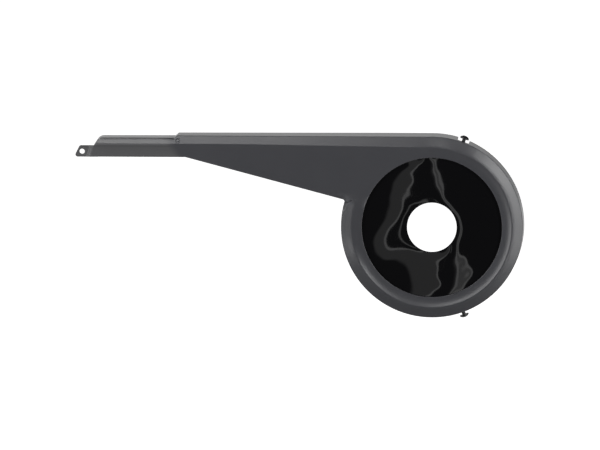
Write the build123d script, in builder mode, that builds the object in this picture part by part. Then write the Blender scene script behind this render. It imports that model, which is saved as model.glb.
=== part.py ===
from build123d import *
import os
from math import atan2, cos, degrees, hypot, radians, sin, sqrt, tan

# Bicycle chain guard: a moulded shell with a gloss disc snapped in behind its window, and two
# screws with captive nuts in the rim. Millimetres. +X points to the front of the bicycle, +Z up
# and +Y inboard, so the outside faces -Y. The origin lies on the crank axis, on the disc's
# outer face.

# Moulded shell, round front
WALL = 2.4
RIM_RADIUS = 100.0
RIM_DEPTH = 28.0
DRAFT = 2.0
BEVEL_WIDTH = 11.7
BEVEL_DEPTH = 3.0
COVE_WIDTH = 10.2
LIP_FLAT = 1.0
RIDGE_HEIGHT = 3.0
COVE_HOLLOW = 0.28
EDGE_ROUND = 0.7
CREASE_ROUND = 1.6

# The ridge stands at full height from RIDGE_START to RIDGE_END and fades into the flat face
# over RIDGE_FADE at both ends. Angles run anticlockwise from +X, seen from outside.
RIDGE_START = -145.0
RIDGE_END = 60.0
RIDGE_FADE = 35.0
FADE_STEPS = 4

# Arm and tail
ARM_BEVEL_WIDTH = 9.0
ARM_BEVEL_X = -200.0
TAIL_BEVEL_WIDTH = 8.6
NOTCH_ANGLE = 162.6
NOTCH_FILLET = 2.5
NOTCH_RISE = 8.0
UNDERSIDE_ROUND = 1.0
STEP_X = -280.1
STEP_RUN = 2.5
BEND_LEAD = 9.2
TAIL_DROP = 2.2
TAIL_HEIGHT = 21.4
TAIL_END_X = -371.7
TAIL_SLANT = 6.0
TAIL_CORNER = 8.0
TAIL_DEPTH = 20.0
TAPER_X = -60.0

# Fixing tab
TAB_LENGTH = 21.7
TAB_HOLE_OUT = 12.7
TAB_HOLE_RISE = 5.9
TAB_HOLE_RADIUS = 2.9
TAB_HEIGHT = 12.5
TAB_THICKNESS = 3.0
TAB_SETBACK = 0.8
TAB_SLANT = 6.2
TAB_ROUND = 2.6
TAB_ROOT = 8.0
TAB_RAMP = 5.0
TAB_RAMP_LEAN = 3.5

# Small marks on the tail and the arm's bevel
GROOVE_WIDTH = 1.4
GROOVE_DEPTH = 1.2
GROOVE_INSET = 0.9
DIMPLE_LEAD = 0.9
DIMPLE_INSET = 3.3
DIMPLE_RADIUS = 2.6
DIMPLE_DEPTH = 1.3
PIP_RADIUS = 1.3

# Chain side: the wall drops to a shallow lip where the chain leaves
LIP_DEPTH = 7.0
LIP_TOP_GAP = 11.0
CHAIN_GATE_X = -20.0
CHAIN_GATE_RUN = 22.0

# Stiffening gussets under the top wall
GUSSET_COUNT = 5
GUSSET_FIRST_X = -40.0
GUSSET_LAST_GAP = 15.0
GUSSET_THICKNESS = 1.8
GUSSET_DEPTH = 9.0
GUSSET_HEIGHT = 8.0

# Cover disc and the hooks that hold it
DISC_THICKNESS = 1.2
DISC_LAP = 4.5
CRANK_HOLE_RADIUS = 27.2
HOOK_COUNT = 6
HOOK_FIRST_ANGLE = 15.0
HOOK_ARC = 9.0
HOOK_WALL = 1.8
HOOK_REACH = 1.4
HOOK_NIB = 1.2
HOOK_CLEARANCE = 0.15
HOOK_SKIN = 0.4

# Rim screws, their pads and nuts
SCREW_ANGLE = 70.0
SCREW_INSET = 8.0
SCREW_RADIUS = 2.0
SCREW_LENGTH = 12.0
SCREW_PROUD = 3.2
SCREW_CLEARANCE = 0.25
HEAD_RADIUS = 5.0
HEAD_HEIGHT = 3.6
HEAD_EDGE = 1.4
CROSS_LENGTH = 4.4
CROSS_WIDTH = 1.0
CROSS_DEPTH = 1.3
POCKET_WIDTH = 13.0
POCKET_DEPTH = 2.4
POCKET_INSET = 2.0
PAD_THICKNESS = 3.0
PAD_FRONT = 1.2
NUT_WIDTH = 7.0
NUT_THICKNESS = 2.2
NUT_FIT = 0.1
THREAD_GAP = 0.05
RAIL_THICKNESS = 1.5

# How far cutting shapes run past what they cut
CUT = 20.0

# Places worked out from the sizes above
FACE_Y = -WALL
RIM_FRONT_Y = FACE_Y + BEVEL_DEPTH
REAR_Y = RIM_FRONT_Y + RIM_DEPTH
CREST_RADIUS = RIM_RADIUS - BEVEL_WIDTH
COVE_RADIUS = CREST_RADIUS - COVE_WIDTH
WINDOW_RADIUS = COVE_RADIUS - LIP_FLAT
CORE_RADIUS = WINDOW_RADIUS - CUT
DISC_RADIUS = WINDOW_RADIUS + DISC_LAP
BEND_X = STEP_X + BEND_LEAD
DIMPLE_X = STEP_X + DIMPLE_LEAD
TAIL_TOP_X = TAIL_END_X + TAIL_SLANT
TAB_HOLE_X = TAIL_END_X - TAB_HOLE_OUT
TAB_END_X = TAIL_END_X - TAB_LENGTH
TAIL_TOP_Z = RIM_RADIUS - TAIL_DROP
TAIL_BOTTOM_Z = TAIL_TOP_Z - TAIL_HEIGHT
SCREW_Y = RIM_FRONT_Y + SCREW_INSET
PAD_RADIUS = RIM_RADIUS - POCKET_DEPTH
NUT_SEAT_RADIUS = PAD_RADIUS - PAD_THICKNESS
HEAD_SEAT_RADIUS = RIM_RADIUS + SCREW_PROUD
CRANK_AXIS = Axis((0, 0, 0), (0, -1, 0))


def depth_plane(y):
    """Upright plane at depth y, with X across and Z up; its normal points outside."""
    return Plane.XZ.offset(-y)


def cross_plane(x):
    """Plane across the arm at x, with depth as its first axis and Z as its second."""
    return Plane(origin=(x, 0, 0), x_dir=(0, 1, 0), z_dir=(1, 0, 0))


def radial_plane(angle):
    """Plane through the crank axis, with radius as its first axis and depth as its second."""
    c, s = cos(radians(angle)), sin(radians(angle))
    return Plane(origin=(0, 0, 0), x_dir=(c, 0, s), z_dir=(-s, 0, c))


def screw_plane(angle, radius):
    """Plane square to a rim screw, with depth, then the way round the rim, as its axes."""
    c, s = cos(radians(angle)), sin(radians(angle))
    return Plane(origin=(radius * c, SCREW_Y, radius * s), x_dir=(0, 1, 0), z_dir=(c, 0, s))


def ring_section(angle, inset, lift):
    """Half section of the round front, set in by inset for the inner skin.

    From the window outwards: flat face, concave cove up to the crest, bevel down to the rim and
    the drafted rim wall. lift is the share of the ridge's full height.
    """
    face = FACE_Y + inset
    crest = face - RIDGE_HEIGHT * lift
    rim = RIM_RADIUS - inset
    edge = crest + (BEVEL_DEPTH + RIDGE_HEIGHT * lift) * (BEVEL_WIDTH - inset) / BEVEL_WIDTH
    rear = REAR_Y + inset
    core = CORE_RADIUS - inset
    cove_middle = (COVE_RADIUS + COVE_WIDTH / 2, face - RIDGE_HEIGHT * lift * COVE_HOLLOW)
    with BuildSketch(radial_plane(angle)) as section:
        with BuildLine():
            Polyline((core, rear), (core, face), (COVE_RADIUS, face))
            if lift:
                ThreePointArc((COVE_RADIUS, face), cove_middle, (CREST_RADIUS, crest))
            else:
                Line((COVE_RADIUS, face), (CREST_RADIUS, crest))
            Polyline(
                (CREST_RADIUS, crest),
                (rim, edge),
                (rim + (rear - RIM_FRONT_Y) * tan(radians(DRAFT)), rear),
                (core, rear),
            )
        make_face()
        if not inset:
            fillet(section.vertices().sort_by_distance(Vector(CREST_RADIUS, crest))[0], CREASE_ROUND)
            fillet(section.vertices().sort_by_distance(Vector(rim, edge))[0], EDGE_ROUND)
    return section.sketch


def arm_section(x, inset, bevel_width):
    """Section of the arm at x: flat face, top bevel and drafted top wall."""
    face = FACE_Y + inset
    top = RIM_RADIUS - inset
    crease = RIM_RADIUS - bevel_width
    edge = face + BEVEL_DEPTH * (bevel_width - inset) / bevel_width
    rear = REAR_Y + inset
    with BuildSketch(cross_plane(x)) as section:
        with BuildLine():
            Polyline(
                (face, 0),
                (face, crease),
                (edge, top),
                (rear, top + (rear - RIM_FRONT_Y) * tan(radians(DRAFT))),
                (rear, 0),
                close=True,
            )
        make_face()
        if not inset:
            fillet(section.vertices().sort_by_distance(Vector(face, crease))[0], CREASE_ROUND)
            fillet(section.vertices().sort_by_distance(Vector(edge, top))[0], EDGE_ROUND)
    return section.sketch


def arm_outline(inset):
    """Outline of arm and tail, seen from outside, run on into the round front.

    The underside runs from the bend to a small fillet that meets the rim. The fillet's centre
    lies NOTCH_FILLET outside both the underside and the rim. From there the edge of the flat
    face climbs by NOTCH_RISE across the ring's bevel to the window.
    """
    bend = Vector(BEND_X, TAIL_BOTTOM_Z)
    notch = Vector(RIM_RADIUS * cos(radians(NOTCH_ANGLE)), RIM_RADIUS * sin(radians(NOTCH_ANGLE)))
    along = (notch - bend).normalized()
    outward = Vector(along.Y, -along.X)
    start = bend + outward * NOTCH_FILLET
    reach = RIM_RADIUS + NOTCH_FILLET
    half = start.dot(along)
    centre = start + along * (-half - sqrt(half**2 - start.dot(start) + reach**2))
    leave = centre - outward * NOTCH_FILLET
    meet = centre * (RIM_RADIUS / reach)
    middle = centre - (outward + centre.normalized()).normalized() * NOTCH_FILLET
    tab_top = TAIL_BOTTOM_Z + TAB_HEIGHT
    step_top = RIM_RADIUS + CUT
    step_slope = STEP_RUN / TAIL_DROP
    with BuildSketch(depth_plane(REAR_Y + inset)) as outline:
        with BuildLine():
            Polyline((TAIL_END_X, tab_top), (TAIL_END_X, TAIL_BOTTOM_Z), bend, leave)
            ThreePointArc(leave, middle, meet)
            Polyline(
                meet,
                (-sqrt(WINDOW_RADIUS**2 - (meet.Y + NOTCH_RISE) ** 2), meet.Y + NOTCH_RISE),
                (0, WINDOW_RADIUS),
                (0, step_top),
                (STEP_X + step_slope * CUT, step_top),
                (STEP_X - STEP_RUN, TAIL_TOP_Z),
                (TAIL_TOP_X, TAIL_TOP_Z),
                (TAIL_END_X, tab_top),
            )
        make_face()
        fillet(outline.vertices().sort_by_distance(Vector(TAIL_TOP_X, TAIL_TOP_Z))[0], TAIL_CORNER)
        if inset:
            offset(amount=-inset, kind=Kind.INTERSECTION)
            with BuildLine():
                Polyline((-CUT, CREST_RADIUS), (0, CREST_RADIUS), (0, step_top), (-CUT, step_top), close=True)
            make_face()
    return outline.sketch


def below_tail_bottom(edge):
    """True for the edges along the underside of tail and arm, up to the notch."""
    return edge.center().Z < TAIL_BOTTOM_Z + UNDERSIDE_ROUND and edge.center().X < -CREST_RADIUS


def guard_form(inset):
    """The guard as a solid block: its outer skin, or with an inset its inner skin."""
    with BuildPart() as form:
        extrude(arm_outline(inset), amount=REAR_Y - FACE_Y, dir=(0, -1, 0))
        if not inset:
            front = form.faces().sort_by(Axis.Y)[0]
            fillet(front.edges().filter_by(below_tail_bottom), UNDERSIDE_ROUND)
        loft(
            [
                arm_section(TAB_END_X, inset, TAIL_BEVEL_WIDTH),
                arm_section(ARM_BEVEL_X, inset, ARM_BEVEL_WIDTH),
                arm_section(0, inset, BEVEL_WIDTH),
            ],
            ruled=True,
            mode=Mode.INTERSECT,
        )
        ridge_arc = RIDGE_END - RIDGE_START
        revolve(ring_section(RIDGE_START, inset, 1), axis=CRANK_AXIS, revolution_arc=ridge_arc)
        for start, way in ((RIDGE_START, -1), (RIDGE_END, 1)):
            fade = []
            for step in range(FADE_STEPS + 1):
                share = step / FADE_STEPS
                lift = (1 - share) ** 2 * (1 + 2 * share)
                fade.append(ring_section(start + way * share * RIDGE_FADE, inset, lift))
            loft(fade)
        plain_arc = 360 - ridge_arc - 2 * RIDGE_FADE
        revolve(ring_section(RIDGE_END + RIDGE_FADE, inset, 0), axis=CRANK_AXIS, revolution_arc=plain_arc)
    return form.part


def bevel_depth(z):
    """Depth of the tail's bevel at height z."""
    return FACE_Y + BEVEL_DEPTH * (z - RIM_RADIUS + TAIL_BEVEL_WIDTH) / TAIL_BEVEL_WIDTH


def tab_profile():
    """Outline of the fixing tab, with its slanted, rounded free end."""
    top = TAIL_BOTTOM_Z + TAB_HEIGHT
    root = TAIL_END_X + TAB_ROOT
    with BuildSketch(depth_plane(FACE_Y + TAB_SETBACK + TAB_THICKNESS)) as profile:
        with BuildLine():
            Polyline(
                (root, TAIL_BOTTOM_Z),
                (TAB_END_X, TAIL_BOTTOM_Z),
                (TAB_END_X + TAB_SLANT, top),
                (root, top),
                close=True,
            )
        make_face()
        fillet(profile.vertices().group_by(Axis.X)[0] + profile.vertices().group_by(Axis.X)[1], TAB_ROUND)
    return profile.sketch


def hook_section(angle):
    """Section of a snap hook: a post outside the disc's edge with a nib over the disc's back."""
    post = DISC_RADIUS + HOOK_CLEARANCE
    back = DISC_THICKNESS + HOOK_CLEARANCE
    with BuildSketch(radial_plane(angle)) as section:
        with BuildLine():
            Polyline(
                (post, FACE_Y + HOOK_SKIN),
                (post + HOOK_WALL, FACE_Y + HOOK_SKIN),
                (post + HOOK_WALL, back + HOOK_NIB),
                (post, back + HOOK_NIB),
                (post - HOOK_REACH, back + HOOK_NIB / 2),
                (post - HOOK_REACH, back),
                (post, back),
                close=True,
            )
        make_face()
    return section.sketch


outer_skin = guard_form(0)
inner_skin = guard_form(WALL)

with BuildPart() as guard_shell:
    add(outer_skin)
    add(inner_skin, mode=Mode.SUBTRACT)

    # Window that the disc shows through
    with BuildSketch(depth_plane(0)):
        Circle(WINDOW_RADIUS)
    extrude(amount=CUT, both=True, mode=Mode.SUBTRACT)

    # The arm gets shallower towards the tail
    with BuildSketch(Plane.XY):
        with BuildLine():
            Polyline(
                (TAPER_X, REAR_Y),
                (TAB_END_X, RIM_FRONT_Y + TAIL_DEPTH),
                (TAB_END_X, REAR_Y + CUT),
                (TAPER_X, REAR_Y + CUT),
                close=True,
            )
        make_face()
    extrude(amount=RIM_RADIUS + CUT, both=True, mode=Mode.SUBTRACT)

    # Chain side: only a shallow lip is left below the top wall
    with BuildSketch(Plane.XY.offset(RIM_RADIUS - LIP_TOP_GAP)):
        with BuildLine():
            Polyline(
                (TAB_END_X, RIM_FRONT_Y + LIP_DEPTH),
                (CHAIN_GATE_X - CHAIN_GATE_RUN, RIM_FRONT_Y + LIP_DEPTH),
                (CHAIN_GATE_X, REAR_Y),
                (CHAIN_GATE_X, REAR_Y + CUT),
                (TAB_END_X, REAR_Y + CUT),
                close=True,
            )
        make_face()
    extrude(amount=-2 * RIM_RADIUS - CUT, mode=Mode.SUBTRACT)

    # Fixing tab, set back by a slanting ramp
    extrude(tab_profile(), amount=TAB_THICKNESS)
    with BuildSketch(Plane.XY.offset(TAIL_BOTTOM_Z)):
        with BuildLine():
            Polyline(
                (TAIL_END_X + TAB_ROOT - TAB_RAMP_LEAN, FACE_Y),
                (TAIL_END_X - TAB_RAMP_LEAN, FACE_Y),
                (TAIL_END_X - TAB_RAMP_LEAN - TAB_RAMP, FACE_Y + TAB_SETBACK),
                (TAIL_END_X + TAB_ROOT - TAB_RAMP_LEAN, FACE_Y + TAB_SETBACK),
                close=True,
            )
        make_face()
    extrude(amount=hypot(TAB_HEIGHT, TAB_RAMP_LEAN), dir=(TAB_RAMP_LEAN, 0, TAB_HEIGHT))
    with BuildSketch(depth_plane(0)):
        with Locations((TAB_HOLE_X, TAIL_BOTTOM_Z + TAB_HOLE_RISE)):
            Circle(TAB_HOLE_RADIUS)
    extrude(amount=CUT, both=True, mode=Mode.SUBTRACT)

    # Groove under the tail's top edge, and the sunk gate mark with its pip where the arm begins,
    # both on the bevel
    bevel_tilt = degrees(atan2(BEVEL_DEPTH, TAIL_BEVEL_WIDTH))
    groove_z = TAIL_TOP_Z - GROOVE_INSET - GROOVE_WIDTH / 2
    groove_start = TAIL_TOP_X + GROOVE_WIDTH
    with BuildSketch(cross_plane(groove_start)):
        with Locations((bevel_depth(groove_z), groove_z)):
            Rectangle(2 * GROOVE_DEPTH, GROOVE_WIDTH, rotation=-bevel_tilt)
    extrude(amount=STEP_X - STEP_RUN - GROOVE_INSET - groove_start, mode=Mode.SUBTRACT)
    dimple_z = TAIL_TOP_Z - DIMPLE_INSET
    dimple_normal = (0, -TAIL_BEVEL_WIDTH, BEVEL_DEPTH)
    dimple_centre = (DIMPLE_X, bevel_depth(dimple_z), dimple_z)
    with BuildSketch(Plane(dimple_centre, x_dir=(1, 0, 0), z_dir=dimple_normal)):
        Circle(DIMPLE_RADIUS)
        Circle(PIP_RADIUS, mode=Mode.SUBTRACT)
    extrude(amount=DIMPLE_DEPTH, both=True, mode=Mode.SUBTRACT)

    # Gussets between the face and the top wall
    gusset_pitch = (STEP_X + GUSSET_LAST_GAP - GUSSET_FIRST_X) / (GUSSET_COUNT - 1)
    for number in range(GUSSET_COUNT):
        with BuildSketch(cross_plane(GUSSET_FIRST_X + number * gusset_pitch)):
            with BuildLine():
                Polyline(
                    (FACE_Y + WALL / 2, CREST_RADIUS - GUSSET_HEIGHT),
                    (FACE_Y + WALL / 2, CREST_RADIUS),
                    (RIM_FRONT_Y + WALL / 2, RIM_RADIUS - WALL / 2),
                    (RIM_FRONT_Y + GUSSET_DEPTH, RIM_RADIUS - WALL / 2),
                    close=True,
                )
            make_face()
    extrude(amount=GUSSET_THICKNESS / 2, both=True)

    # Snap hooks for the disc
    hook_angles = [HOOK_FIRST_ANGLE + number * 360 / HOOK_COUNT for number in range(HOOK_COUNT)]
    hooks = [hook_section(angle - HOOK_ARC / 2) for angle in hook_angles]
    revolve(hooks, axis=CRANK_AXIS, revolution_arc=HOOK_ARC)

    # Screw pads: a pocket in the rim wall, open to the back, with a pad under it for the screw
    # and two rails that keep the nut from turning
    pocket_front = POCKET_INSET - SCREW_INSET
    pocket_back = RIM_DEPTH - SCREW_INSET
    for angle in (SCREW_ANGLE, -SCREW_ANGLE):
        with BuildSketch(screw_plane(angle, NUT_SEAT_RADIUS)):
            with Locations(((pocket_front - PAD_FRONT + pocket_back) / 2, 0)):
                Rectangle(pocket_back - pocket_front + PAD_FRONT, POCKET_WIDTH + 2 * WALL)
    extrude(amount=PAD_THICKNESS + POCKET_DEPTH / 2)
    for angle in (SCREW_ANGLE, -SCREW_ANGLE):
        with BuildSketch(screw_plane(angle, PAD_RADIUS)):
            with Locations(((pocket_front + pocket_back + CUT) / 2, 0)):
                Rectangle(pocket_back + CUT - pocket_front, POCKET_WIDTH)
    extrude(amount=CUT, mode=Mode.SUBTRACT)
    rail_offset = (NUT_WIDTH + RAIL_THICKNESS) / 2 + NUT_FIT
    for angle in (SCREW_ANGLE, -SCREW_ANGLE):
        with BuildSketch(screw_plane(angle, NUT_SEAT_RADIUS)):
            with Locations((0, -rail_offset), (0, rail_offset)):
                Rectangle(NUT_WIDTH, RAIL_THICKNESS)
    extrude(amount=-NUT_THICKNESS)
    for angle in (SCREW_ANGLE, -SCREW_ANGLE):
        with BuildSketch(screw_plane(angle, PAD_RADIUS)):
            Circle(SCREW_RADIUS + SCREW_CLEARANCE)
    extrude(amount=-PAD_THICKNESS, mode=Mode.SUBTRACT)
guard_shell.part.label = "guard_shell"

with BuildPart() as cover_disc:
    with BuildSketch(depth_plane(0)):
        Circle(DISC_RADIUS)
        Circle(CRANK_HOLE_RADIUS, mode=Mode.SUBTRACT)
    extrude(amount=-DISC_THICKNESS)
cover_disc.part.label = "cover_disc"

with BuildPart() as rim_screws:
    for angle in (SCREW_ANGLE, -SCREW_ANGLE):
        seat = screw_plane(angle, HEAD_SEAT_RADIUS)
        with BuildSketch(seat):
            Circle(SCREW_RADIUS)
        extrude(amount=-SCREW_LENGTH)
        axis = Axis(seat.origin, seat.z_dir)
        with BuildSketch(Plane(seat.origin, x_dir=seat.x_dir, z_dir=seat.y_dir * -1)):
            with BuildLine():
                Polyline((0, HEAD_HEIGHT), (0, 0), (HEAD_RADIUS, 0), (HEAD_RADIUS, HEAD_EDGE))
                TangentArc((0, HEAD_HEIGHT), (HEAD_RADIUS, HEAD_EDGE), tangent=(1, 0))
            make_face()
        revolve(axis=axis)
        with BuildSketch(seat.offset(HEAD_HEIGHT)):
            Rectangle(CROSS_LENGTH, CROSS_WIDTH)
            Rectangle(CROSS_WIDTH, CROSS_LENGTH)
        extrude(amount=-CROSS_DEPTH, mode=Mode.SUBTRACT)
rim_screws.part.label = "rim_screws"

with BuildPart() as rim_nuts:
    for angle in (SCREW_ANGLE, -SCREW_ANGLE):
        with BuildSketch(screw_plane(angle, NUT_SEAT_RADIUS)):
            Rectangle(NUT_WIDTH, NUT_WIDTH)
            Circle(SCREW_RADIUS + THREAD_GAP, mode=Mode.SUBTRACT)
        extrude(amount=-NUT_THICKNESS)
rim_nuts.part.label = "rim_nuts"

os.makedirs("parts", exist_ok=True)
for piece in (guard_shell, cover_disc, rim_screws, rim_nuts):
    export_step(piece.part, f"parts/{piece.part.label}.step")
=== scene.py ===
import math

import bpy
import numpy as np
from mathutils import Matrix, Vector


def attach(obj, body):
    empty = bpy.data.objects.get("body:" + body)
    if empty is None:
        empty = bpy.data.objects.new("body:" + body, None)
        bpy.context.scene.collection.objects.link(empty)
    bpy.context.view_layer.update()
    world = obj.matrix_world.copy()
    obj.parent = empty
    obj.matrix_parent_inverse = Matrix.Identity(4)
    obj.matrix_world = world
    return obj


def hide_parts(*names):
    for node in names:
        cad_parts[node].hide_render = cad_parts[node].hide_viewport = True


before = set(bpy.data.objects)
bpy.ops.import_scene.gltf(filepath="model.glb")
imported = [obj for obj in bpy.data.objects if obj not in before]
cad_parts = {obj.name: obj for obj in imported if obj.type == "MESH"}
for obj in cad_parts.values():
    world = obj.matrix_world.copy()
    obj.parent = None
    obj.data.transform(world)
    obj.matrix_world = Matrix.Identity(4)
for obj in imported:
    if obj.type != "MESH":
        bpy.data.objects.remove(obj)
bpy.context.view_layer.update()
scene = bpy.context.scene
scene.view_settings.view_transform = "Standard"

# Where the photographer stood: metres and degrees, looking along +Y from in front of the guard
CAMERA_DISTANCE = 12.0
CAMERA_ELEVATION = math.radians(7.1)
CAMERA_AZIMUTH = math.radians(2.5)
AIM = Vector((-0.1448, -0.0024, 0.0021))
TOWARD_CAMERA = Vector((
    math.sin(CAMERA_AZIMUTH) * math.cos(CAMERA_ELEVATION),
    -math.cos(CAMERA_AZIMUTH) * math.cos(CAMERA_ELEVATION),
    math.sin(CAMERA_ELEVATION),
))
CAMERA_PLACE = AIM + TOWARD_CAMERA * CAMERA_DISTANCE
VIEW_WIDTH = 0.6590
SENSOR = 36.0

# The cover sheet lies between its seat and its hooks
DISC_RADIUS = 0.0816
HOLE_RADIUS = 0.0272
SHEET_THICKNESS = 0.00055
SHEET_MIDDLE = 0.00060
EDGE_ROUND = 0.00015

# Cards of light strips stand far in front, and the wavy sheet bends their picture. A flat place on the
# sheet at u millimetres along X sees one place on the cards: these are the strips' edges there.
CARD_DISTANCE = 2.62
BAND_LEFT, BAND_RIGHT = -48.0, -32.0
ARC_LINE = -20.0
PAIR_LEFT, PAIR_RIGHT = 10.0, 15.0

# Edges of the moulding are shaded round: the crest between bevel and cove on its outer side, and the
# corner where the arm meets the ring, have a wider round than the rest
CREST_RADIUS = 0.0883
NOTCH = (-0.0890, -0.0024, 0.0330)
MOULD_ROUND = 0.0008
CREST_ROUND = 0.0060
NOTCH_ROUND = 0.0090

# The tail is paler past a slanting line. Painted shade and painted light lie on it by height, strongest in its
# groove; painted light lies on the gate mark and the notch's corner.
TAIL_WAY = (-0.821, 0, -0.571)
TAIL_BOTTOM_Z = 0.0764
TAIL_TOP_Z = 0.0978
TAIL_BEVEL_Z = 0.0893
GROOVE_Z = 0.0962
GATE_MARK = (-0.2792, -0.0012, 0.0945)
NOTCH_CORNER = (-0.0921, 0.0, 0.0278)

# Light from the dark front half of the studio
DIM = 0.045


def mesh_piece(name, points, faces, material):
    """A smooth mesh object at the origin from an array of points and an array of quads."""
    mesh = bpy.data.meshes.new(name)
    mesh.from_pydata(points.tolist(), [], faces.tolist())
    mesh.polygons.foreach_set("use_smooth", np.full(len(mesh.polygons), True))
    mesh.materials.append(material)
    mesh.update()
    piece = bpy.data.objects.new(name, mesh)
    scene.collection.objects.link(piece)
    return piece


def grid_faces(rows, columns, wrap=False):
    """Quads of a rows by columns grid, as point numbers; wrapped, the last lines join the first both ways."""
    i, j = np.meshgrid(np.arange(rows - (not wrap)), np.arange(columns - (not wrap)), indexing="ij")
    i, j = i.ravel(), j.ravel()
    k, m = (i + 1) % rows, (j + 1) % columns
    return np.stack([i * columns + j, i * columns + m, k * columns + m, k * columns + j], 1)


class Nodes:
    """Short calls for adding and joining the nodes of one tree."""

    def __init__(self, tree):
        self.nodes, self.links = tree.nodes, tree.links

    def node(self, kind, **values):
        """A new node, with its settings and its sockets' values."""
        made = self.nodes.new(kind)
        for key, value in values.items():
            if hasattr(made, key):
                setattr(made, key, value)
            else:
                made.inputs[key.replace("_", " ")].default_value = value
        return made

    def join(self, out, into):
        self.links.new(out, into)

    def noise(self, place, **values):
        """The level of a noise at a place."""
        made = self.node("ShaderNodeTexNoise", **values)
        self.join(place, made.inputs["Vector"])
        return made.outputs["Fac"]

    def remap(self, value, low, high, to_low=0.0, to_high=1.0, **values):
        """A value carried from one range into another and held at its ends."""
        made = self.node(
            "ShaderNodeMapRange", From_Min=low, From_Max=high, To_Min=to_low, To_Max=to_high, **values)
        self.join(value, made.inputs["Value"])
        return made.outputs["Result"]

    def ramp(self, value, dark, pale, low=0.0, high=1.0):
        """A blend from a dark to a pale colour while a value goes from low to high."""
        made = self.node("ShaderNodeValToRGB")
        for element, position, colour in zip(made.color_ramp.elements, (low, high), (dark, pale)):
            element.position = position
            element.color = (*colour, 1)
        self.join(value, made.inputs["Fac"])
        return made.outputs["Color"]

    def levels(self, value, stops):
        """A level that runs straight from stop to stop, each a value with its level."""
        low, high = stops[0][0], stops[-1][0]
        made = self.node("ShaderNodeValToRGB")
        elements = made.color_ramp.elements
        while len(elements) < len(stops):
            elements.new(0.5)
        for element, (at, level) in zip(elements, stops):
            element.position = (at - low) / (high - low)
            element.color = (level, level, level, 1)
        self.join(self.remap(value, low, high), made.inputs["Fac"])
        return made.outputs["Color"]

    def scale(self, colour, gain):
        """A colour times a number."""
        made = self.node("ShaderNodeVectorMath", operation="SCALE")
        self.join(colour, made.inputs[0])
        self.join(gain, made.inputs["Scale"])
        return made.outputs["Vector"]

    def math(self, operation, *terms):
        """One step of arithmetic on sockets and plain numbers."""
        made = self.node("ShaderNodeMath", operation=operation)
        for socket, term in zip(made.inputs, terms):
            if isinstance(term, float):
                socket.default_value = term
            else:
                self.join(term, socket)
        return made.outputs[0]

    def measure(self, operation, place, other):
        """A number from a place and a fixed vector: their dot product or their distance."""
        made = self.node("ShaderNodeVectorMath", operation=operation)
        self.join(place, made.inputs[0])
        made.inputs[1].default_value = other
        return made.outputs["Value"]

    def height(self, place):
        """The Z of a place."""
        made = self.node("ShaderNodeSeparateXYZ")
        self.join(place, made.inputs[0])
        return made.outputs["Z"]


class Finish(Nodes):
    """A material with its shader."""

    def __init__(self, name):
        self.material = bpy.data.materials.new(name)
        self.material.use_nodes = True
        super().__init__(self.material.node_tree)
        self.shader = self.nodes["Principled BSDF"]

    def place(self):
        """The piece's own coordinates."""
        return self.node("ShaderNodeTexCoord").outputs["Object"]

    def feed(self, **outs):
        """Joins node outputs to the shader."""
        for key, out in outs.items():
            self.join(out, self.shader.inputs[key.replace("_", " ")])

    def set(self, **values):
        """Sets the shader's plain values."""
        for key, value in values.items():
            self.shader.inputs[key.replace("_", " ")].default_value = value


def tail_painted_light_and_shade(f, place):
    """How many times paler the tail's colour is made, by height: painted shade just under the bevel's edge, a
    little paler towards the bottom, and painted light on the bevel and, strongest, in the groove.
    """
    return f.levels(f.height(place), [
        (TAIL_BOTTOM_Z, 1.08), (TAIL_BEVEL_Z - 0.0025, 0.96), (TAIL_BEVEL_Z - 0.0008, 0.78),
        (TAIL_BEVEL_Z, 0.78), (TAIL_BEVEL_Z + 0.0003, 1.25), (GROOVE_Z - 0.0010, 1.25),
        (GROOVE_Z - 0.0006, 1.90), (GROOVE_Z + 0.0006, 1.90), (GROOVE_Z + 0.0010, 1.25), (TAIL_TOP_Z, 1.25)])


def plastic_tone(f, place):
    """The plastic's colour: a faint flow mottle, darker and bluer on the arm and ring than on the tail, with
    painted shade and painted light on the tail and painted light at the gate mark and the notch's corner.
    """
    flow = f.noise(place, Scale=22.0, Detail=4.0, Roughness=0.55)
    arm = f.ramp(flow, (0.0282, 0.0286, 0.0323), (0.0315, 0.0319, 0.0356), 0.25, 0.75)
    tail = f.ramp(flow, (0.0465, 0.0465, 0.0485), (0.0515, 0.0515, 0.0535), 0.25, 0.75)
    along = f.measure("DOT_PRODUCT", place, TAIL_WAY)
    tone = f.node("ShaderNodeMix", data_type="RGBA")
    colours = [socket for socket in tone.inputs if socket.type == "RGBA"]
    f.join(f.remap(along, 0.180, 0.190, interpolation_type="SMOOTHSTEP"), tone.inputs["Factor"])
    f.join(arm, colours[0])
    # The tail's colour is scaled by painted shade and painted light, set by height
    f.join(f.scale(tail, tail_painted_light_and_shade(f, place)), colours[1])
    mixed = next(socket for socket in tone.outputs if socket.type == "RGBA")
    # Painted light: the gate mark's dimple is made up to 1.7 times paler to lift its shade
    gate_painted_light = f.remap(f.measure("DISTANCE", place, GATE_MARK), 0.0028, 0.0034, 1.7, 1.0)
    # Painted light: the notch's corner is made up to 2.2 times paler to hide a dark facet's shade
    corner_painted_light = f.remap(f.measure("DISTANCE", place, NOTCH_CORNER), 0.0005, 0.0065, 2.2, 1.0)
    return f.scale(mixed, f.math("MULTIPLY", gate_painted_light, corner_painted_light))


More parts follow.
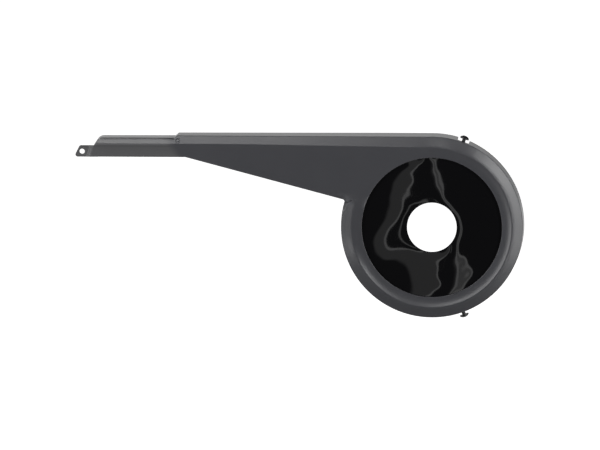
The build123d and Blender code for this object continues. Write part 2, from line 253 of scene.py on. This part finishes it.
def edge_rounding(f, place):
    """Radius of the shaded edges: small on most, wide outside the ring's crest and at the notch."""
    across = f.node("ShaderNodeVectorMath", operation="MULTIPLY")
    across.inputs[1].default_value = (1, 0, 1)
    f.join(place, across.inputs[0])
    from_axis = f.node("ShaderNodeVectorMath", operation="LENGTH")
    f.join(across.outputs["Vector"], from_axis.inputs[0])
    off_crest = f.math("SUBTRACT", from_axis.outputs["Value"], CREST_RADIUS)
    swell = f.remap(off_crest, -0.0010, 0.0020, 0.0010, CREST_ROUND)
    fade = f.remap(off_crest, 0.0040, 0.0090, CREST_ROUND, MOULD_ROUND)
    off_arm = f.measure("DOT_PRODUCT", place, (1, 0, -1))
    on_ring = f.remap(off_arm, -0.110, -0.090, MOULD_ROUND, CREST_ROUND)
    crest = f.math("MINIMUM", swell, f.math("MINIMUM", fade, on_ring))
    notch = f.remap(f.measure("DISTANCE", place, NOTCH), 0.012, 0.020, NOTCH_ROUND, MOULD_ROUND)
    return f.math("MAXIMUM", crest, notch)


def shell_plastic():
    """Dark grey moulded plastic: fine spark-eroded grain, a paler tail, painted shade and painted light in the
    colour, and softly rounded edges.
    """
    f = Finish("shell_plastic")
    place = f.place()
    grain = f.noise(place, Scale=2600.0, Detail=3.0, Roughness=0.6)
    soft_edges = f.node("ShaderNodeBevel", samples=8)
    f.join(edge_rounding(f, place), soft_edges.inputs["Radius"])
    bump = f.node("ShaderNodeBump", Strength=0.25, Distance=0.00006)
    f.join(soft_edges.outputs["Normal"], bump.inputs["Normal"])
    f.join(grain, bump.inputs["Height"])
    f.feed(
        Base_Color=plastic_tone(f, place), Roughness=f.remap(grain, 0.3, 0.7, 0.29, 0.36),
        Normal=bump.outputs["Normal"])
    return f.material


def disc_gloss():
    """Gloss black sheet with a trace of haze and fine dust in the polish."""
    f = Finish("disc_gloss")
    dust = f.noise(f.place(), Scale=900.0, Detail=2.0)
    f.feed(Roughness=f.remap(dust, 0.4, 0.8, 0.008, 0.020))
    f.set(Base_Color=(0.0016, 0.0016, 0.0019, 1), IOR=1.5)
    return f.material


def black_screw():
    """Blackened steel: dark and half-matt, with rubbed patches."""
    f = Finish("black_screw")
    rub = f.noise(f.place(), Scale=700.0, Detail=4.0)
    f.feed(
        Base_Color=f.ramp(rub, (0.005, 0.005, 0.006), (0.018, 0.018, 0.020)),
        Roughness=f.remap(rub, 0.0, 1.0, 0.22, 0.38))
    f.set(Metallic=0.15, Specular_IOR_Level=0.35)
    return f.material


def zinc_nut():
    """Bright zinc plate, slightly cloudy."""
    f = Finish("zinc_nut")
    cloud = f.noise(f.place(), Scale=420.0, Detail=3.0)
    f.feed(
        Base_Color=f.ramp(cloud, (0.48, 0.48, 0.50), (0.62, 0.62, 0.61)),
        Roughness=f.remap(cloud, 0.0, 1.0, 0.25, 0.45))
    f.set(Metallic=1.0)
    return f.material


def wave_places():
    """Places on the sheet, in millimetres, with the u that each one sees and how firmly it is held.

    Each run gives its u, its hold and its places. A run without u lies in the plain dark right part,
    which sees past the last strip.
    """
    runs = [
        (BAND_LEFT, 0.7, [
            (-23.5, 70), (-37.5, 57.5), (-44, 47), (-44.5, 38), (-47, 24), (-50.5, 10.5), (-57, -1.5),
            (-63, -11.5), (-64, -20), (-61.5, -29), (-52.5, -37), (-45, -35.5), (-37.5, -37), (-30, -41.5),
            (-25, -49.5), (-22, -60.5), (-22.5, -72.5)]),
        (BAND_RIGHT, 1.2, [
            (-8, 74.5), (-14.5, 68.5), (-23.5, 61.5), (-20, 55), (-22, 48), (-25, 39), (-31, 33.5),
            (-32, 26), (-33, 17), (-38.5, 7.5), (-44, 2), (-49.5, -6), (-51.5, -13.5), (-50.5, -20),
            (-45.5, -25), (-36.5, -24), (-26.5, -24), (-19, -25), (20, -27.5), (13.5, -32), (8.5, -36.5),
            (7, -44), (6, -55), (10, -61.5), (8, -67), (1.5, -71.5), (-4, -76)]),
        (ARC_LINE, 1.0, [
            (8, 30), (2, 31), (-5, 30.5), (-14.5, 27), (-25.5, 20.5), (-30, 14), (-33, 4), (-35, -6),
            (-33.5, -13.5), (-27.5, -19), (-20, -23)]),
        (PAIR_LEFT, 2.0, [
            (-2.2, 75), (1.3, 63), (4, 52), (8, 41.5), (12, 30.5), (19, 24), (24.5, 17.5), (28, 13), (31, 4),
            (31.5, -2.5), (30, -10), (28, -18), (27, -24.5), (25.5, -32), (27.5, -38.5), (28.5, -46.5),
            (28, -53), (27.5, -58.5), (25.5, -65), (20, -73.5)]),
        (PAIR_RIGHT, 2.0, [
            (3, 75), (7.6, 61), (9.7, 53.5), (12.8, 41.5), (17, 29), (20.5, 24), (25.5, 18), (29.5, 13),
            (32.5, 4), (33.5, -2.5), (32, -10), (29.5, -18), (29, -24.5), (31, -30), (36, -33),
            (38.5, -38.5), (40.5, -44), (44.5, -47), (42.5, -55), (37.5, -61.5), (32, -69.5)]),
        (-40.0, 0.5, [
            (-23.5, 63), (-33, 52), (-35.5, 41.5), (-39.5, 28), (-42, 15), (-48.5, 4), (-56.5, -9),
            (-57.5, -20), (-16, 75), (-20, 72), (-51.5, -31), (-38.5, -30), (-25.5, -30), (-12.5, -35.5),
            (-8, -46.5), (-8, -57.5), (-10.5, -68.5), (-38, 29), (-41, 34), (-17.5, -44), (-16, -52),
            (0, -50), (0, -56), (1, -62), (-3, -67), (-12, -74)]),
        (-62.0, 0.4, [
            (-48.5, 54.5), (-57, 41.5), (-62.5, 24), (-68, 8.5), (-71, -8), (-70, -24.5), (-62.5, -37.5),
            (-51.5, -48.5), (-40.5, -60.5), (-32, -70.5), (-38.5, 65.5), (-30, 72), (-48.5, -42),
            (-38.5, -46.5), (-52, 44), (-56, 32), (-60, 15), (-63, 4), (-45, 58), (-75, 0), (-70, -33),
            (-55, -53), (-33, -58)]),
        (-14.0, 0.5, [(-9.5, 67.5), (-10.5, 56.5), (-4, 49), (-6, 63), (-1.5, 52), (-14, 60)]),
        (-27.0, 0.6, [(-9.5, 44), (-12, 37), (-3, 37)]),
        (-18.0, 0.4, [(-15, 48), (-19, 42)]),
        (-26.0, 0.4, [(-40.5, -2.5), (-43, -11.5), (-40.5, -19)]),
        (-12.0, 0.5, [
            (20, -37.5), (16.5, -48.5), (19, -57.5), (16.5, -68.5), (10, -72.5), (24.5, -31), (17, -63),
            (13, -52)]),
        (-8.0, 0.4, [(-29, 2), (-30, -6), (-26.5, -13.5), (-23.5, 15)]),
        (12.5, 1.2, [(37, -53), (36, -58), (39, -49), (33, -41), (35, -49.5), (33, -57.5), (28.5, -67)]),
        (None, 0.6, [
            (24.5, 68.5), (24.5, 52), (24.5, 36), (40.5, 57.5), (40.5, 36), (40.5, 19.5), (40.5, 3),
            (40.5, -13.5), (46, -30), (54.5, -46.5), (60, -24.5), (60, -2.5), (60, 19.5), (57, 41.5),
            (46, -63), (71, 3), (67.5, -19), (51.5, 52), (19, 72), (16, 66), (17, 58), (20, 47), (35, 65),
            (33, 46), (46, 60), (46, 49), (62, 32), (69, 15), (66, -35), (33, 26), (47, -20), (50, 10),
            (56, -58), (38, -75), (12, 73), (14, 69)]),
    ]
    past_strips, beside = 32.0, 6.0
    places, seen, hold = [], [], []
    for u, firm, run in runs:
        run = np.array(run, float)
        places.append(run)
        seen.append(np.maximum(run[:, 0] + beside, past_strips) if u is None else np.full(len(run), u))
        hold.append(np.full(len(run), firm))
    return np.concatenate(places), np.concatenate(seen), np.concatenate(hold)


def sheet_waves(x, z):
    """Height of the sheet's waves over its flat plane, in metres.

    h(x, z) = sum of a_k exp(-((x - x_k)^2 + (z - z_k)^2) / (2 s^2)) over dents on a square grid. The
    mirror slope makes a place see u = x + reach * dh/dx on the cards, so the a_k are the least-squares
    answer for the u wanted at the places above, with the height, the slope along Z, the bending of the
    slope along X and the dents themselves kept low.
    """
    step, spread = 9.0, 9.0
    level_hold, tilt_hold, bend_hold, dent_hold = 1 / 1200, 1 / 50, 6.0, 1 / 60000
    reach = 2000 * CARD_DISTANCE / (1 - CARD_DISTANCE / CAMERA_PLACE.y)
    line = np.arange(-90, 91, step)
    grid_x, grid_z = [a.ravel() for a in np.meshgrid(line, line)]
    near = np.hypot(grid_x, grid_z) < 88
    grid_x, grid_z = grid_x[near], grid_z[near]

    def dents(px, pz):
        """Height, slope along X and slope along Z of every dent at the given places."""
        dx, dz = px[:, None] - grid_x, pz[:, None] - grid_z
        bump = np.exp(-(dx**2 + dz**2) / (2 * spread**2))
        return bump, -dx / spread**2 * bump, -dz / spread**2 * bump

    places, seen, hold = wave_places()
    _, slope_x, _ = dents(places[:, 0], places[:, 1])
    spots = np.arange(-76, 77, 6.0)
    spot_x, spot_z = [a.ravel() for a in np.meshgrid(spots, spots)]
    on_sheet = (np.hypot(spot_x, spot_z) < 78) & (np.hypot(spot_x, spot_z) > 26)
    spot_x, spot_z = spot_x[on_sheet], spot_z[on_sheet]
    level, slope, tilt = dents(spot_x, spot_z)
    side = 3.0
    around = [dents(spot_x + a, spot_z + b)[1] for a, b in ((side, 0), (-side, 0), (0, side), (0, -side))]
    bend = (sum(around) - 4 * slope) / side**2
    rows = reach * np.vstack([
        slope_x * hold[:, None], level_hold * level, tilt_hold * tilt, bend_hold * bend,
        dent_hold * np.eye(len(grid_x))])
    wanted = np.concatenate([(seen - places[:, 0]) * hold, np.zeros(len(rows) - len(places))])
    size = np.linalg.lstsq(rows, wanted, rcond=None)[0]
    height = dents(1000 * x.ravel(), 1000 * z.ravel())[0] @ size
    return height.reshape(x.shape) / 1000


def cover_sheet(material):
    """The disc: a thin ring section carried once round the crank axis.

    The section runs from the rim to the hole along the front and back along the rear, with a small
    round at both edges. Every point is then moved in depth by the waves at its place.
    """
    front_rings, back_rings, turns = 72, 24, 480
    half = SHEET_THICKNESS / 2
    inner, outer = HOLE_RADIUS + EDGE_ROUND, DISC_RADIUS - EDGE_ROUND
    front_y, back_y = -half + EDGE_ROUND, half - EDGE_ROUND
    turn = np.linspace(0, np.pi / 2, 4)
    sine, cosine = EDGE_ROUND * np.sin(turn), EDGE_ROUND * np.cos(turn)
    radius = np.concatenate([
        np.linspace(outer, inner, front_rings), inner - sine[1:], inner - cosine[:-1],
        np.linspace(inner, outer, back_rings), outer + sine[1:], outer + cosine[1:-1],
    ])
    depth = np.concatenate([
        np.full(front_rings, -half), front_y - cosine[1:], back_y + sine[:-1],
        np.full(back_rings, half), back_y + cosine[1:], front_y - sine[1:-1],
    ])
    angle = np.linspace(0, 2 * np.pi, turns, endpoint=False)
    x, z = np.outer(np.cos(angle), radius), np.outer(np.sin(angle), radius)
    y = SHEET_MIDDLE + depth[None, :] + sheet_waves(x, z)
    points = np.stack([x, y, z], 2).reshape(-1, 3)
    return mesh_piece("cover_sheet", points, grid_faces(turns, len(radius), wrap=True), material)


def studio_floor():
    """Pale flat floor behind the guard, with a white glow for camera, gloss and clear rays."""
    f = Finish("floor_paper")
    path = f.node("ShaderNodeLightPath").outputs
    seen = f.math("MAXIMUM", path["Is Camera Ray"], path["Is Glossy Ray"])
    f.feed(Emission_Strength=f.math("MAXIMUM", seen, path["Is Transmission Ray"]))
    f.set(Emission_Color=(1, 1, 1, 1))
    f.set(Base_Color=(0.82, 0.82, 0.82, 1), Roughness=0.9, Specular_IOR_Level=0.0)
    x, y = np.meshgrid([-6.0, 6.0], [0.10, 6.0])
    points = np.stack([x, y, np.full_like(x, -0.28)], 2).reshape(-1, 3)
    mesh_piece("studio_floor", points, grid_faces(2, 2), f.material)


def card_x(u):
    """Where the card lies that a flat place at u millimetres sees."""
    ratio = -CARD_DISTANCE / CAMERA_PLACE.y
    return (1 + ratio) * u / 1000 - ratio * CAMERA_PLACE.x


def strip_card(name, stops, bottom, top):
    """An upright card seen only by gloss: light strips across X, given as stops of u and strength."""
    f = Finish(name)
    strips = [(card_x(u), strength) for u, strength in stops]
    left, right = strips[0][0], strips[-1][0]
    f.feed(Emission_Color=f.levels(f.measure("DOT_PRODUCT", f.place(), (1, 0, 0)), strips))
    f.set(Base_Color=(0, 0, 0, 1), Specular_IOR_Level=0.0, Emission_Strength=1.0)
    x, z = np.meshgrid([left, right], [bottom, top])
    points = np.stack([x, np.full_like(x, -CARD_DISTANCE), z], 2).reshape(-1, 3)
    card = mesh_piece(name, points, grid_faces(2, 2), f.material)
    card.visible_camera = card.visible_diffuse = card.visible_shadow = False


def softbox(name, place, aim, width, height, power):
    """A rectangular soft light that faces the aim point."""
    data = bpy.data.lights.new(name, "AREA")
    data.shape = "RECTANGLE"
    data.size, data.size_y, data.energy = width, height, power
    lamp = bpy.data.objects.new(name, data)
    lamp.location = place
    lamp.rotation_mode = "QUATERNION"
    lamp.rotation_quaternion = (Vector(aim) - Vector(place)).to_track_quat("-Z", "Y")
    scene.collection.objects.link(lamp)


def studio_world():
    """White for the eye; as light, a pale back, most of it to the left, a dim front and a floor bounce."""
    world = bpy.data.worlds.new("studio")
    scene.world = world
    world.use_nodes = True
    w = Nodes(world.node_tree)
    way = w.node("ShaderNodeTexCoord").outputs["Generated"]
    behind = w.remap(w.measure("DOT_PRODUCT", way, (-0.42, 0.908, 0)), 0.62, 0.86, DIM, 0.94)
    below = w.remap(w.height(way), -0.2, -0.6, DIM, 0.30)
    seen = w.node("ShaderNodeLightPath").outputs["Is Camera Ray"]
    background = w.nodes["Background"]
    w.join(w.math("MAXIMUM", seen, w.math("MAXIMUM", below, behind)), background.inputs["Strength"])
    background.inputs["Color"].default_value = (1, 1, 1, 1)


finishes = (("guard_shell", shell_plastic()), ("rim_screws", black_screw()), ("rim_nuts", zinc_nut()))
for node, finish in finishes:
    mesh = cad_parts[node].data
    mesh.materials.clear()
    mesh.materials.append(finish)

disc = cover_sheet(disc_gloss())
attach(disc, "root")
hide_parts("cover_disc")

studio_floor()
studio_world()
strip_card("band_card", [
    (-56, DIM), (-50, DIM), (-46, 0.41), (BAND_RIGHT - 1.6, 0.41), (BAND_RIGHT - 1, 1.3), (BAND_RIGHT + 1, 1.3),
    (BAND_RIGHT + 1.6, DIM), (-28, DIM)], -0.85, 0.25)
strip_card("arc_card", [
    (ARC_LINE - 2, DIM), (ARC_LINE - 0.9, 0.9), (ARC_LINE + 0.9, 0.9), (ARC_LINE + 2, DIM)], -0.3665, -0.3185)
strip_card("pair_card", [
    (2, DIM), (5, 0.10), (8.2, 0.28), (PAIR_LEFT - 1, 1.25), (PAIR_LEFT + 1, 1.25), (11.5, 0.6), (13.5, 0.6),
    (PAIR_RIGHT - 1, 1.25), (PAIR_RIGHT + 1, 1.25), (PAIR_RIGHT + 2, DIM)], -0.85, 0.25)
softbox("right_softbox", (1.09, -1.01, 0.24), (0.0, 0.0, 0.0), 0.5, 2.0, 25.0)
softbox("upper_softbox", (0.90, -1.22, 0.80), (0.0, 0.0, 0.0), 0.6, 0.6, 2.1)
softbox("top_softbox", (0.42, -1.20, 1.00), (0.0, 0.0, 0.0), 0.6, 0.5, 0.6)
softbox("lower_right_softbox", (0.85, -1.00, -0.80), (0.0, 0.0, 0.0), 0.6, 0.6, 1.2)
softbox("lower_left_softbox", (-0.90, -1.00, -0.60), (0.0, 0.0, 0.0), 0.6, 0.6, 0.9)
softbox("left_softbox", (-1.21, -0.93, 0.35), (-0.05, 0.0, 0.0), 0.7, 1.5, 17.5)
softbox("upper_left_softbox", (-0.88, -1.00, 0.62), (-0.05, 0.0, 0.0), 0.45, 0.45, 2.2)
softbox("front_softbox", (-0.33, -0.91, 0.69), (-0.25, 0.0, 0.09), 0.60, 0.28, 3.0)

camera_data = bpy.data.cameras.new("camera")
camera_data.sensor_width = SENSOR
camera_data.lens = SENSOR * CAMERA_DISTANCE / VIEW_WIDTH
camera = bpy.data.objects.new("camera", camera_data)
camera.location = CAMERA_PLACE
camera.rotation_mode = "QUATERNION"
camera.rotation_quaternion = (-TOWARD_CAMERA).to_track_quat("-Z", "Y")
scene.collection.objects.link(camera)
scene.camera = camera

bpy.context.view_layer.update()
